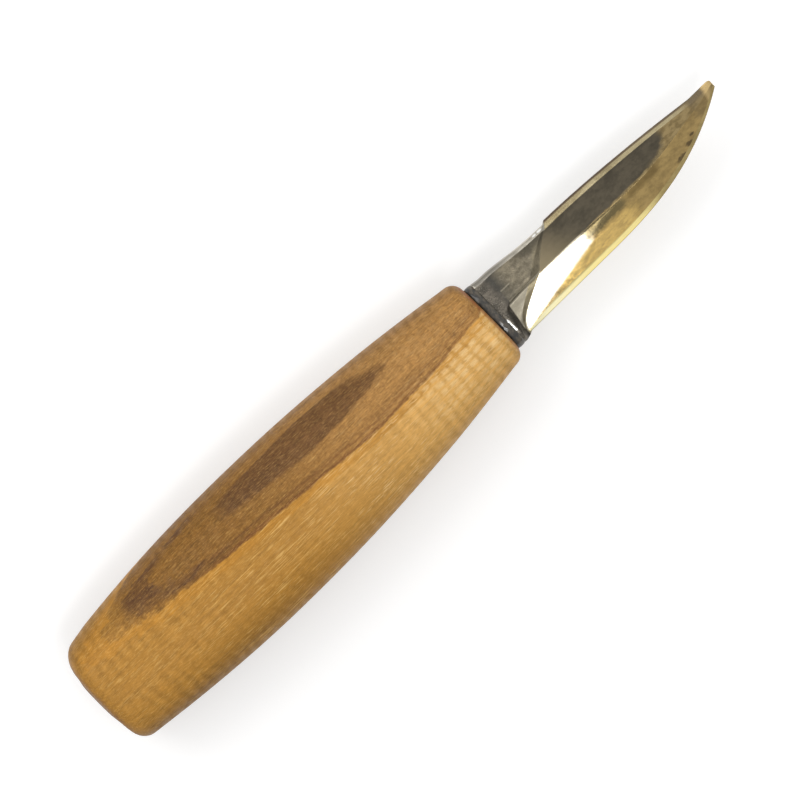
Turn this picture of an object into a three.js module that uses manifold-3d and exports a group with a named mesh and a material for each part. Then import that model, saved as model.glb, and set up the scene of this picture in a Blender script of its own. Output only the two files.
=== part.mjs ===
// Whittling knife: a forged blade with a hidden tang, set with epoxy in a barrel-shaped wooden handle.
// Sizes are in millimetres. X runs from the butt to the point, Y towards the spine and Z through the thickness.
// The knife lies on its side. Its origin is below the middle of its length, level with the handle's belly.
import Module from "manifold-3d";
import * as THREE from "three";
import { mergeVertices } from "three/addons/utils/BufferGeometryUtils.js";

const wasm = await Module();
wasm.setup();

// Clearance between pieces that seat on each other, and how far a cutter runs past what it cuts.
const clearance = 0.3;
const overrun = 1.5;

// Handle: lengths along it, then widths towards the spine and thicknesses across it.
const handleLength = 121.6;
const bellyFromButt = 51.2;
const bellyWidth = 33.8;
const frontWidth = 22.5;
const buttWidth = 26.4;
const bellyThickness = 27;
const frontThickness = 19.6;
const buttThickness = 22.4;
const ovalPower = 2.25;
const frontRounding = 2.5;
const buttRounding = 3.2;
const buttTopRounding = 5;
const buttCrownWidth = 4.6;
const buttCrownDepth = 0.8;

// Slot for the tang, blind, with half-round ends, drilled and filed from the front face: the room for
// epoxy that it leaves past the tang's end, past its edges and beside its flat sides.
const slotEndRoom = 7.8;
const slotEdgeRoom = 2;
const slotSideRoom = 1.3;

// Bead of epoxy squeezed out between the handle and the bolster: how far it stands out round the bolster.
const beadLength = 1.2;
const beadEdgeProud = 0.1;
const beadSideProud = 1.6;
const beadRounding = 0.5;

// Tang: a flat forged bar that tapers in height, with half-round notches for the epoxy to key in.
const tangLength = 78;
const tangRootHeight = 11;
const tangEndHeight = 6.4;
const tangThickness = 3.6;
const notchRadius = 1.3;
const notchPitch = 17;
const notchPairs = 3;

// Blade and neck, with lengths measured forward of the handle's front face.
const bladeReach = 71.8;
const neckReach = 23.6;
const bladeHeight = 15.7;
const edgeDrop = 8.7;
const bladeThickness = 2.8;
const tipThickness = 1.1;
const taperReach = 44;
const sweepReach = 29.6;
const sweepRise = 10.2;
const sweepPower = 2.6;
const spineLevelReach = 65.6;
const spineFall = 3.35;
const spineFallPower = 1.6;
const tipBlunting = 0.5;
const tipShoulder = 0.35;

// Bevels: the narrow one at the edge, the wide one above it, and the chamfer along the spine.
const edgeBevelHeight = 1.45;
const edgeBevelDepth = 0.34;
const tipEdgeBevelShare = 0.45;
const chamferHeight = 1.7;
const tipChamferShare = 0.7;
// Height of the grind line as a share of the blade's height, at even steps from the plunge to the point.
const grindHeightShares = [0.503, 0.492, 0.468, 0.458, 0.5, 0.55, 0.5];

// Bolster and neck.
const bolsterLength = 3;
const bolsterThickness = 5;
const bolsterToe = 0.8;
const bolsterRearRounding = 0.35;
const neckEndThickness = 3.5;
const neckFlare = 1.7;
const spineStepRise = 0.5;
const neckChamferHeight = 1;

// The section has the same ten rows all along, from the cutting edge (row 0) up to the spine (row 9):
// 1 edge bevel, 2 and 3 main bevel, 4 grind line, 5 lower edge of the neck's raised face, 6 flat,
// 7 foot of the spine chamfer, 8 its break, 9 the spine.
const rowCount = 10;
const grindRow = 4;
const neckEdgeRow = 5;
const flatRow = 6;
const chamferRow = 7;
const breakRow = 8;
const spineRow = 9;
// Where the plunge crosses each row and how wide its ramp is there, as shares of the neck's reach.
const plungeShares = [0.207, 0.174, 0.246, 0.466, 0.64, 0.657, 0.788, 0.953, 0.987, 1];
const rampWidthShares = [0.021, 0.006, 0.021, 0.068, 0.152, 0.136, 0.06, 0.038, 0.034, 0.034];
// How far the ramp's top stands above its foot on the rows of the web, as shares of the blade's height.
const webRiseShares = [-0.008, 0.01, 0.041, 0.038, -0.006];
// Shape of the bolster: height and thickness of each row, and where its front crest crosses the row.
const bolsterHeightShares = [0, 0.035, 0.14, 0.28, 0.42, 0.49, 0.72, 0.93, 0.98, 1];
const bolsterThicknessShares = [0, 0.62, 0.9, 0.99, 1, 1, 1, 0.96, 0.76, 0.42];
const crestShares = [0.3, 0.3, 0.35, 0.45, 0.6, 0.92, 0.7, 0.7, 0.7, 0.7];
// Foot of the bolster below the neck: place along it, height on the blade and thickness of each row.
const footAlongShares = [0.8, 0.7, 0.82, 0.95, 1.07];
const footHeightShares = [-0.022, 0.072, 0.178, 0.33, 0.49];
const footThicknessShares = [0, 0.3, 0.9, 1, 1];
// Thickness of each row of the neck and of the blade above the grind line, as a share of the full one.
const neckThicknessShares = [0, 1, 1, 1, 1, 1, 1, 1, 0.78, 0.42];
const bladeThicknessShares = [0, 1, 1, 1, 1, 1, 1, 1, 0.64, 0.4];
const chamferBreakShare = 0.24;
const neckEdgeShare = 0.06;
const flatRowShare = 0.6;
const tipClosingShare = 0.55;

// How finely the round shapes are faceted.
const handleSegments = 64;
const backSteps = 11;
const foreSteps = 12;
const roundingSteps = 6;
const slotArcSteps = 10;
const neckColumns = 7;
const bladeColumns = 36;

// Places worked out from the sizes.
const shoulderX = handleLength + clearance + beadLength + clearance;
const neckEndX = handleLength + neckReach;
const tipX = handleLength + bladeReach;
const edgeY = -edgeDrop;
const spineY = edgeY + bladeHeight;
const bolsterTopY = spineY - spineStepRise + neckFlare;
const bolsterBottomY = edgeY - bolsterToe;
const slotStartX = shoulderX - tangLength - slotEndRoom;
const slotWidth = tangRootHeight + 2 * slotEdgeRoom;
const slotThickness = tangThickness + 2 * slotSideRoom;
const beadHeight = bolsterTopY - bolsterBottomY + 2 * beadEdgeProud;
const beadThickness = bolsterThickness + 2 * beadSideProud;

const mix = THREE.MathUtils.lerp;

// Value at share s along a list of values that are evenly spaced, with straight stretches between them.
function along(values, s) {
  const place = THREE.MathUtils.clamp(s, 0, 1) * (values.length - 1);
  const low = Math.min(Math.floor(place), values.length - 2);
  return mix(values[low], values[low + 1], place - low);
}

// A geometry's positions and triangles as a solid that can be joined and cut.
function solidOf(geometry) {
  const bare = new THREE.BufferGeometry();
  bare.setAttribute("position", geometry.getAttribute("position"));
  bare.setIndex(geometry.getIndex());
  const merged = mergeVertices(bare);
  return new wasm.Manifold(
    new wasm.Mesh({
      numProp: 3,
      vertProperties: new Float32Array(merged.attributes.position.array),
      triVerts: new Uint32Array(merged.index.array),
    }),
  );
}

function geometryOf(solid) {
  const made = solid.getMesh();
  const geometry = new THREE.BufferGeometry();
  geometry.setAttribute("position", new THREE.BufferAttribute(made.vertProperties, 3));
  geometry.setIndex(new THREE.BufferAttribute(made.triVerts, 1));
  geometry.computeVertexNormals();
  return geometry;
}

// A closed skin over rings of points that follow each other along X. Every ring has as many points, in
// order from +Y towards +Z, and each end is closed by a fan about its middle.
function loft(rings) {
  const count = rings[0].length;
  const points = rings.flat();
  const triangles = [];
  for (let ring = 0; ring < rings.length - 1; ring++) {
    for (let spot = 0; spot < count; spot++) {
      const next = (spot + 1) % count;
      const here = ring * count;
      const ahead = here + count;
      triangles.push(here + spot, here + next, ahead + next);
      triangles.push(here + spot, ahead + next, ahead + spot);
    }
  }
  [rings[0], rings[rings.length - 1]].forEach((ring, end) => {
    const middle = new THREE.Vector3();
    ring.forEach((point) => middle.addScaledVector(point, 1 / count));
    points.push(middle);
    const first = end * (rings.length - 1) * count;
    for (let spot = 0; spot < count; spot++) {
      const pair = [first + spot, first + ((spot + 1) % count)];
      triangles.push(points.length - 1, pair[1 - end], pair[end]);
    }
  });
  const geometry = new THREE.BufferGeometry().setFromPoints(points);
  geometry.setIndex(triangles);
  return geometry;
}

// An oval ring across X, a little squarer than an ellipse. Its points lie half a step to each side of the
// top, the bottom and both sides, so the barrel lies on a narrow flat facet and not on a corner.
function ovalRing(x, halfWidth, halfThickness) {
  const ring = [];
  const halfStep = Math.PI / handleSegments;
  const full = Math.cos(halfStep) ** (2 / ovalPower);
  for (let spot = 0; spot < handleSegments; spot++) {
    const angle = (2 * spot + 1) * halfStep;
    const [c, s] = [Math.cos(angle), Math.sin(angle)];
    const y = (halfWidth / full) * Math.sign(c) * Math.abs(c) ** (2 / ovalPower);
    const z = (halfThickness / full) * Math.sign(s) * Math.abs(s) ** (2 / ovalPower);
    ring.push(new THREE.Vector3(x, y, z));
  }
  return ring;
}

// Handle

// Half of the handle's width or thickness at x: full at the belly, falling off as a parabola to each end.
function barrelHalf(x, belly, front, butt) {
  const ahead = x > bellyFromButt;
  const share = (x - bellyFromButt) / (ahead ? handleLength - bellyFromButt : bellyFromButt);
  return (belly - (belly - (ahead ? front : butt)) * share ** 2) / 2;
}

function handleRing(x, inset) {
  return ovalRing(
    x,
    barrelHalf(x, bellyWidth, frontWidth, buttWidth) - inset,
    barrelHalf(x, bellyThickness, frontThickness, buttThickness) - inset,
  );
}

// A ring of the butt's rounding, part of the way round its arc. The arc grows larger towards +Y.
function buttRing(turn) {
  const [forward, inward] = [1 - Math.cos(turn), 1 - Math.sin(turn)];
  const ring = handleRing(buttCrownDepth + buttRounding * forward, buttRounding * inward);
  const top = ring[0].y;
  const more = buttTopRounding - buttRounding;
  for (const point of ring) {
    const share = Math.max(0, point.y / top) ** 2;
    point.x += more * forward * share;
    point.y -= more * inward * share;
  }
  return ring;
}

// The butt is flat in the middle, falls away a little as a crown and turns into the barrel by an arc.
function handleSolid() {
  const rings = [handleRing(0, buttRounding + buttCrownWidth)];
  for (let step = 0; step <= roundingSteps; step++) rings.push(buttRing((step / roundingSteps) * (Math.PI / 2)));
  const barrelEnd = handleLength - frontRounding;
  for (const [from, to, steps] of [
    [buttCrownDepth + buttRounding, bellyFromButt, backSteps],
    [bellyFromButt, barrelEnd, foreSteps],
  ]) {
    for (let step = 1; step <= steps; step++) rings.push(handleRing(mix(from, to, step / steps), 0));
  }
  for (let step = 1; step <= roundingSteps; step++) {
    const turn = (step / roundingSteps) * (Math.PI / 2);
    const x = barrelEnd + frontRounding * Math.sin(turn);
    rings.push(handleRing(x, frontRounding * (1 - Math.cos(turn))));
  }
  return solidOf(loft(rings)).subtract(slotSolid(0, overrun));
}

// The slot as a solid bar. shrink draws it in from the wood, and past is its length beyond the front face.
function slotSolid(shrink, past) {
  const radius = slotThickness / 2 - shrink;
  const reach = slotWidth / 2 - slotThickness / 2;
  const outline = new THREE.Shape();
  outline.absarc(reach, 0, radius, -Math.PI / 2, Math.PI / 2, false);
  outline.absarc(-reach, 0, radius, Math.PI / 2, (3 * Math.PI) / 2, false);
  const depth = handleLength - slotStartX - shrink + past;
  const bar = new THREE.ExtrudeGeometry(outline, { depth, bevelEnabled: false, curveSegments: slotArcSteps });
  // The outline lies across X, with its long way along Y.
  bar.applyMatrix4(
    new THREE.Matrix4().makeBasis(
      new THREE.Vector3(0, 1, 0),
      new THREE.Vector3(0, 0, 1),
      new THREE.Vector3(1, 0, 0),
    ),
  );
  bar.translate(slotStartX + shrink, 0, 0);
  return solidOf(bar);
}

// Tang

// The tang's bar, grown all round by grow. Its notches shrink by as much, so that the epoxy fits them.
function tangSolid(grow) {
  const rootX = shoulderX + overrun;
  const endX = shoulderX - tangLength - grow;
  const rootHalf = tangRootHeight / 2 + grow;
  const endHalf = tangEndHeight / 2 + grow;
  const outline = new THREE.Shape();
  outline.absarc(endX + endHalf, 0, endHalf, Math.PI / 2, (3 * Math.PI) / 2, false);
  outline.lineTo(rootX, -rootHalf);
  outline.lineTo(rootX, rootHalf);
  const depth = tangThickness + 2 * grow;
  const bar = new THREE.ExtrudeGeometry(outline, { depth, bevelEnabled: false, curveSegments: slotArcSteps });
  bar.translate(0, 0, -depth / 2);
  let solid = solidOf(bar);
  for (let pair = 1; pair <= notchPairs; pair++) {
    const x = shoulderX - pair * notchPitch;
    const halfHeight = mix(rootHalf, endHalf, (rootX - x) / (rootX - endX));
    for (const side of [-1, 1]) {
      const round = new THREE.CylinderGeometry(
        notchRadius - grow,
        notchRadius - grow,
        depth + overrun,
        2 * slotArcSteps,
      );
      round.rotateX(Math.PI / 2);
      round.translate(x, side * halfHeight, 0);
      solid = solid.subtract(solidOf(round));
    }
  }
  return solid;
}

// Epoxy

// The filling of the slot round the tang, with its bead on the handle's front face.
function epoxySolid() {
  const start = handleLength + clearance;
  const rings = [];
  for (const [turnFrom, turnTo, x] of [
    [-Math.PI / 2, 0, start + beadRounding],
    [0, Math.PI / 2, start + beadLength - beadRounding],
  ]) {
    for (let step = 0; step <= roundingSteps; step++) {
      const turn = mix(turnFrom, turnTo, step / roundingSteps);
      const inset = beadRounding * (1 - Math.cos(turn));
      const place = x + beadRounding * Math.sin(turn);
      rings.push(ovalRing(place, beadHeight / 2 - inset, beadThickness / 2 - inset));
    }
  }
  const bead = loft(rings).translate(0, (bolsterTopY + bolsterBottomY) / 2, 0);
  const filling = slotSolid(clearance, clearance + beadLength / 2);
  return filling.add(solidOf(bead)).subtract(tangSolid(clearance));
}

// Blade

// The cutting edge runs level from the heel and then sweeps up to the point.
function edgeAt(x) {
  const start = handleLength + sweepReach;
  const share = Math.max(0, (x - start) / (tipX - start));
  return edgeY + sweepRise * share ** sweepPower;
}

// The spine falls ever faster until it is level again just behind the point.
function spineAt(x) {
  const level = handleLength + spineLevelReach;
  const share = THREE.MathUtils.clamp((x - neckEndX) / (level - neckEndX), 0, 1);
  return spineY - spineFall * share ** spineFallPower;
}

// Height of a row on the blade, forward of the plunge.
function bladeRowY(row, x) {
  const toTip = THREE.MathUtils.clamp((x - neckEndX) / (tipX - neckEndX), 0, 1);
  const edge = edgeAt(x);
  const spine = spineAt(x);
  const edgeBevel = edge + edgeBevelHeight * mix(1, tipEdgeBevelShare, toTip);
  const grind = mix(edge, spine, along(grindHeightShares, toTip));
  const chamfer = chamferHeight * mix(1, tipChamferShare, toTip);
  const neckEdge = mix(grind, spine - chamfer, neckEdgeShare);
  const heights = [edge, edgeBevel, mix(edgeBevel, grind, 1 / 3), mix(edgeBevel, grind, 2 / 3), grind];
  heights.push(neckEdge, mix(neckEdge, spine - chamfer, flatRowShare), spine - chamfer);
  heights.push(spine - chamfer * chamferBreakShare, spine);
  return heights[row];
}

// Half thickness of a row on the blade. The bevels are flat, and the blade thins towards the point.
function bladeRowZ(row, x) {
  const taperStart = handleLength + taperReach;
  const taper = THREE.MathUtils.clamp((x - taperStart) / (tipX - taperStart), 0, 1);
  const half = mix(bladeThickness, tipThickness, taper) / 2;
  const toTip = THREE.MathUtils.clamp((x - neckEndX) / (tipX - neckEndX), 0, 1);
  const bevelHalf = edgeBevelDepth * mix(1, tipEdgeBevelShare, toTip);
  if (row > 0 && row < grindRow) return mix(bevelHalf, half, (row - 1) / (grindRow - 1));
  return half * bladeThicknessShares[row];
}

function bladePoint(row, x) {
  return new THREE.Vector3(x, bladeRowY(row, x), bladeRowZ(row, x));
}

// Top of the neck: it flares up towards the bolster and stays a little under the spine at its other end.
function neckTopAt(x) {
  const share = THREE.MathUtils.clamp((x - shoulderX) / (neckEndX - shoulderX), 0, 1);
  return mix(bolsterTopY, spineY - spineStepRise, 1 - (1 - share) ** 2);
}

// Half thickness of the neck's raised face at x.
function neckHalfAt(x) {
  const share = THREE.MathUtils.clamp((x - shoulderX) / (neckEndX - shoulderX), 0, 1);
  return mix(bolsterThickness, neckEndThickness, share) / 2;
}

function bolsterPoint(row, x, rounding) {
  const y = mix(bolsterBottomY + rounding, neckTopAt(x) - rounding, bolsterHeightShares[row]);
  const half = bolsterThickness / 2 - rounding;
  return new THREE.Vector3(x, y, half * bolsterThicknessShares[row]);
}

function crestPoint(row) {
  return bolsterPoint(row, shoulderX + bolsterLength * crestShares[row], 0);
}

function footPoint(row) {
  return new THREE.Vector3(
    shoulderX + bolsterLength * footAlongShares[row],
    edgeY + bladeHeight * footHeightShares[row],
    (bladeThickness / 2) * footThicknessShares[row],
  );
}

// A point on the neck's raised face or on its chamfer.
function neckPoint(row, x) {
  const top = neckTopAt(x);
  const lower = bladeRowY(neckEdgeRow, neckEndX);
  const heights = [];
  heights[neckEdgeRow] = lower;
  heights[flatRow] = mix(lower, top - neckChamferHeight, flatRowShare);
  heights[chamferRow] = top - neckChamferHeight;
  heights[breakRow] = top - neckChamferHeight * chamferBreakShare;
  heights[spineRow] = top;
  return new THREE.Vector3(x, heights[row], neckHalfAt(x) * neckThicknessShares[row]);
}

// Foot of the plunge on each row, which is the first point of the blade proper, and the top of its ramp.
function plungePoint(row) {
  return bladePoint(row, handleLength + neckReach * plungeShares[row]);
}

function rampPoint(row) {
  const foot = plungePoint(row);
  const x = foot.x - neckReach * rampWidthShares[row];
  if (row > grindRow) return neckPoint(row, x);
  const y = foot.y + bladeHeight * webRiseShares[row];
  return new THREE.Vector3(x, y, (bladeThickness / 2) * footThicknessShares[row]);
}

// The neck between the bolster and the plunge. Below its raised face lies the flat web.
function neckColumn(share) {
  const points = [];
  for (let row = 0; row < rowCount; row++) {
    const ramp = rampPoint(row);
    if (row <= grindRow) {
      points.push(footPoint(row).lerp(ramp, share));
    } else {
      const crest = crestPoint(row);
      const reach = mix(1 / neckColumns, 1, share);
      const onNeck = neckPoint(row, mix(crest.x, ramp.x, reach));
      // Near the bolster the raised face's lower edge curves down to meet the crest.
      onNeck.y = mix(onNeck.y, mix(crest.y, onNeck.y, reach), (1 - share) ** 2);
      points.push(onNeck);
    }
  }
  return points;
}

// A ring from half a section: down one side from the spine to the edge, and up the other.
function ringOf(half) {
  const otherSide = half.slice(1).map((point) => new THREE.Vector3(point.x, point.y, -point.z));
  return [...half].reverse().concat(otherSide);
}

function eachRow(pointOf) {
  return Array.from({ length: rowCount }, (_, row) => pointOf(row));
}

function bladeSolid() {
  const rearX = shoulderX + bolsterRearRounding;
  const halves = [
    eachRow((row) => bolsterPoint(row, shoulderX, bolsterRearRounding)),
    eachRow((row) => bolsterPoint(row, rearX, 0)),
    eachRow(crestPoint),
  ];
  for (let column = 0; column <= neckColumns; column++) halves.push(neckColumn(column / neckColumns));
  const bladeEndX = tipX - tipBlunting;
  for (let column = 0; column <= bladeColumns; column++) {
    const share = column / bladeColumns;
    halves.push(eachRow((row) => bladePoint(row, mix(plungePoint(row).x, bladeEndX, share))));
  }
  // The point is blunted: its last ring is drawn in all round.
  const last = halves[halves.length - 1];
  const [low, high] = [last[0].y + tipShoulder, last[spineRow].y - tipShoulder];
  halves.push(
    last.map((point) => {
      const share = (point.y - last[0].y) / (last[spineRow].y - last[0].y);
      return new THREE.Vector3(tipX, mix(low, high, share), point.z * tipClosingShare);
    }),
  );
  return solidOf(loft(halves.map(ringOf))).add(tangSolid(0));
}

// Assembly

const wood = new THREE.MeshStandardMaterial({ color: 0xc28e4c, roughness: 0.5, metalness: 0 });
const steel = new THREE.MeshStandardMaterial({ color: 0x8a8070, roughness: 0.3, metalness: 1 });
const epoxy = new THREE.MeshStandardMaterial({ color: 0x20292e, roughness: 0.2, metalness: 0 });

const knife = new THREE.Group();
knife.position.set(-tipX / 2, 0, bellyThickness / 2);
for (const [name, solid, material] of [
  ["handle", handleSolid(), wood],
  ["blade", bladeSolid(), steel],
  ["tang_epoxy", epoxySolid(), epoxy],
]) {
  const mesh = new THREE.Mesh(geometryOf(solid), material);
  mesh.name = name;
  knife.add(mesh);
}

export default knife;
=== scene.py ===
# %% [markdown]
# # A whittling knife with a barrel handle
#
# The knife is one forged blade, a wooden handle and a bead of epoxy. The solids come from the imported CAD
# model, and this lesson dresses them: each piece is made again as a finer mesh, then gets a finish made of
# nodes. The first cell loads the frame and keeps its box, because the dressed knife has to be the same size.

# %% Load the frame
import math

import bmesh
import bpy
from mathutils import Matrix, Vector, noise


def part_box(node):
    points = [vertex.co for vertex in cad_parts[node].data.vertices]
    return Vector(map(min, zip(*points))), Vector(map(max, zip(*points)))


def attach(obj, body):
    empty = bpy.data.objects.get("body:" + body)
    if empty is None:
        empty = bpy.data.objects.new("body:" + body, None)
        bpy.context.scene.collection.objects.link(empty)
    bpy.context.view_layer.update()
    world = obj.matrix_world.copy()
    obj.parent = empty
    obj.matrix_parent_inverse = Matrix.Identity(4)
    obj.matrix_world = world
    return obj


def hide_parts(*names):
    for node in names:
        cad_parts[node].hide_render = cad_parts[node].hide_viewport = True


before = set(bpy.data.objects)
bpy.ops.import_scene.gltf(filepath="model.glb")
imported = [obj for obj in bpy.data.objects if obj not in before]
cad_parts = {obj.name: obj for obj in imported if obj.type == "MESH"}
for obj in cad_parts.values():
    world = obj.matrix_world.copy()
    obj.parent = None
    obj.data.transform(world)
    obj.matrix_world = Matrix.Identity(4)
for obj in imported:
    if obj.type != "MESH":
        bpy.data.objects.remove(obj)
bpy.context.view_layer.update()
handle_low, handle_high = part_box("handle")

# %% [markdown]
# ## Sizes
#
# Blender works in metres, and the shapes below are worked out in millimetres from the middle of the butt: X
# runs to the point, Y towards the spine, Z through the thickness. The handle's box in the frame says where
# that place is, so nothing is fitted by eye.

# %% Sizes and place
MM = 0.001
butt = Vector((handle_low.x, (handle_low.y + handle_high.y) / 2, (handle_low.z + handle_high.z) / 2))
handle_length, belly_width, belly_thickness = (
    (high - low) / MM for low, high in zip(handle_low, handle_high)
)


def mix(a, b, share):
    return a + (b - a) * share


def clamp(share):
    return max(0.0, min(1.0, share))


def along(values, share):
    """The value at a share along a list of evenly spaced values, with straight stretches between them."""
    place = clamp(share) * (len(values) - 1)
    low = min(int(place), len(values) - 2)
    return mix(values[low], values[low + 1], place - low)


print("handle, mm", round(handle_length, 2), round(belly_width, 2), round(belly_thickness, 2))

# %% [markdown]
# ## Growing a shape ring by ring
#
# A barrel, a bead and a forged blade are all sections that follow each other along one line. A loft does that
# in CAD. Here a ring of edges is extruded again and again, and each new ring is moved onto its own section.
# An extruded vertex keeps its custom data, so a number from the first ring says on every later one which
# place of the section the vertex has.

# %% Ring helpers
def first_ring(bm, count):
    """A ring of vertices that each carry their own number, and its edges."""
    spot = bm.verts.layers.int.new("spot")
    verts = bmesh.ops.create_circle(bm, segments=count, radius=1)["verts"]
    for number, vert in enumerate(verts):
        vert[spot] = number
    return verts, list(bm.edges), spot


def next_ring(bm, edges):
    """Extrudes a ring. Gives the new vertices, the new edges and the faces between."""
    grown = bmesh.ops.extrude_edge_only(bm, edges=edges)["geom"]
    verts = [part for part in grown if isinstance(part, bmesh.types.BMVert)]
    faces = [part for part in grown if isinstance(part, bmesh.types.BMFace)]
    edges = [part for part in grown if isinstance(part, bmesh.types.BMEdge)]
    fresh = set(verts)
    return verts, [edge for edge in edges if fresh.issuperset(edge.verts)], faces


def close_ring(bm, edges):
    return bmesh.ops.edgeloop_fill(bm, edges=edges)["faces"]


def finished(bm, name, node, materials):
    """The shape as a piece of the knife, in the frame's place, riding on its body."""
    bmesh.ops.recalc_face_normals(bm, faces=bm.faces)
    bmesh.ops.scale(bm, vec=(MM, MM, MM), verts=bm.verts)
    bmesh.ops.translate(bm, vec=butt, verts=bm.verts)
    mesh = bpy.data.meshes.new(name)
    bm.to_mesh(mesh)
    bm.free()
    for material in materials:
        mesh.materials.append(material)
    piece = bpy.data.objects.new(name, mesh)
    bpy.context.scene.collection.objects.link(piece)
    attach(piece, "root")
    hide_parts(node)
    print(name, "faces", len(mesh.polygons))
    return piece


# %% [markdown]
# ## Writing a finish
#
# A finish is a net of shader nodes. One small class wraps an output of a node, and Python's own operators add
# the Math nodes, so a mask reads like arithmetic. Every node comes from one function that takes its type, its
# settings and its inputs. Lengths are turned to millimetres first, so the numbers in a finish are real sizes.

# %% Node helpers
def srgb(red, green, blue):
    """A colour as it looks on screen, from 0 to 255, turned to Blender's linear values."""
    shares = [value / 255 for value in (red, green, blue)]
    return tuple(s / 12.92 if s <= 0.04045 else ((s + 0.055) / 1.055) ** 2.4 for s in shares) + (1.0,)


def add_node(tree, kind, settings, inputs):
    """A node of a tree. Each input named here is set to a value or linked to another node's socket."""
    made = tree.nodes.new("ShaderNode" + kind)
    for name, value in settings.items():
        setattr(made, name, value)
    for name, value in inputs.items():
        named = (socket for socket in made.inputs if socket.enabled and socket.name == name)
        socket = made.inputs[name] if isinstance(name, int) else next(named)
        if isinstance(value, bpy.types.NodeSocket):
            tree.links.new(value, socket)
        else:
            socket.default_value = value
    return made


def maths(operation, swapped=False):
    """A Python operator that adds a Math node."""
    def operator(wire, other):
        first, second = (other, wire) if swapped else (wire, other)
        return wire.finish.node("Math", {"operation": operation}, {0: first, 1: second})
    return operator


class Wire:
    """One output socket of a finish, on which + - * / and ** work."""

    def __init__(self, finish, socket):
        self.finish = finish
        self.socket = socket

    __add__ = __radd__ = maths("ADD")
    __mul__ = __rmul__ = maths("MULTIPLY")
    __sub__, __rsub__ = maths("SUBTRACT"), maths("SUBTRACT", swapped=True)
    __truediv__, __pow__ = maths("DIVIDE"), maths("POWER")


class Finish:
    """A material written one node at a time. x, y and z are places on the knife in millimetres."""

    def __init__(self, name):
        self.material = bpy.data.materials.new(name)
        self.material.use_nodes = True
        self.tree = self.material.node_tree
        self.tree.nodes.clear()
        coordinates = self.node("TexCoord", {}, {}, "Object")
        from_butt = self.node("VectorMath", {"operation": "SUBTRACT"}, {0: coordinates, 1: tuple(butt)})
        self.place = self.node("VectorMath", {"operation": "MULTIPLY"}, {0: from_butt, 1: (1 / MM,) * 3})
        parts = self.node("SeparateXYZ", {}, {0: self.place}).socket.node.outputs
        self.x, self.y, self.z = (Wire(self, socket) for socket in parts)

    def node(self, kind, settings, inputs, output=None):
        plain = {name: getattr(value, "socket", value) for name, value in inputs.items()}
        made = add_node(self.tree, kind, settings, plain)
        first = next(socket for socket in made.outputs if socket.enabled)
        return Wire(self, made.outputs[output] if output else first)

    def step(self, value, start, end):
        """0 where value is at start, 1 where it is at end, with a soft turn between."""
        inputs = {"Value": value, "From Min": min(start, end), "From Max": max(start, end)}
        rising = self.node("MapRange", {"interpolation_type": "SMOOTHSTEP"}, inputs)
        return rising if end > start else 1 - rising

    def by_x(self, start, end):
        """A step along the knife."""
        return self.step(self.x, start, end)

    def by_y(self, start, end):
        """A step across the knife."""
        return self.step(self.y, start, end)

    def share(self, value, start, end):
        """How far value is from start to end, as a share from 0 to 1."""
        return self.node("MapRange", {}, {"Value": value, "From Min": start, "From Max": end})

    def most(self, first, second):
        return self.node("Math", {"operation": "MAXIMUM"}, {0: first, 1: second})

    def wave(self, turns):
        """A sine wave from -1 to 1."""
        return self.node("Math", {"operation": "SINE"}, {0: turns * (2 * math.pi)})

    def band(self, value, low, high, soft):
        """1 between low and high, fading to 0 over soft on both sides."""
        return self.step(value, low - soft, low) * self.step(value, high + soft, high)

    def spot(self, centre, size, soft=0.6):
        """1 in an oval at centre = (x, y), with half sizes = size."""
        across = (self.x - centre[0]) / size[0]
        up = (self.y - centre[1]) / size[1]
        return self.step(across * across + up * up, 1 + soft, 1 - soft)

    def grain(self, stretch, detail=3.0, roughness=0.55, offset=0.0):
        """Noise from 0 to 1. stretch gives the size of its grains in millimetres along X, Y and Z."""
        inputs = {"Vector": self.place, "Location": (offset,) * 3, "Scale": tuple(1 / s for s in stretch)}
        scaled = self.node("Mapping", {}, inputs)
        inputs = {"Vector": scaled, "Scale": 1.0, "Detail": detail, "Roughness": roughness}
        return self.node("TexNoise", {}, inputs)

    def layers(self, value, detail, roughness=0.5):
        """Noise from 0 to 1 along one value."""
        inputs = {"W": value, "Detail": detail, "Roughness": roughness}
        return self.node("TexNoise", {"noise_dimensions": "1D"}, inputs)

    def swing(self, grain, size):
        """Noise from 0 to 1 turned into a swing of about size on both sides of zero."""
        return (grain - 0.5) * (2 * size)

    def ragged(self, stretch, size, **noise):
        """Grain that swings like that."""
        return self.swing(self.grain(stretch, **noise), size)

    def tint(self, base, colour, share):
        """A mix of two colours. A share of 0 is all base."""
        settings = {"data_type": "RGBA", "blend_type": "MIX"}
        return self.node("Mix", settings, {"Factor": share, "A": base, "B": colour})

    def shade(self, base, value):
        """A colour made lighter or darker by a value near 1."""
        return self.node("VectorMath", {"operation": "SCALE"}, {"Vector": base, "Scale": value})

    def bump(self, height, distance, normal=None):
        """Height from 0 to 1 over distance, in millimetres."""
        inputs = {"Height": height, "Distance": distance * MM, "Strength": 1.0}
        if normal is not None:
            inputs["Normal"] = normal
        return self.node("Bump", {}, inputs)

    def surface(self, **sockets):
        inputs = {name.replace("_", " "): value for name, value in sockets.items()}
        shader = self.node("BsdfPrincipled", {}, inputs)
        add_node(self.tree, "OutputMaterial", {}, {"Surface": shader.socket})
        return self.material


print("node helpers ready")

# %% [markdown]
# ## The camera
#
# The photograph looks straight down on the knife, which lies on its side and slants up to the right. A long
# lens keeps the barrel from bulging, and the width that it has to see gives the camera's height.

# %% Camera
SEEN_WIDTH = 0.1778
SEEN_MIDDLE = Vector((-0.00207, 0.00083, 0.0135))
LENS, SENSOR = 180.0, 36.0
SLANT = math.radians(44.5)

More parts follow.
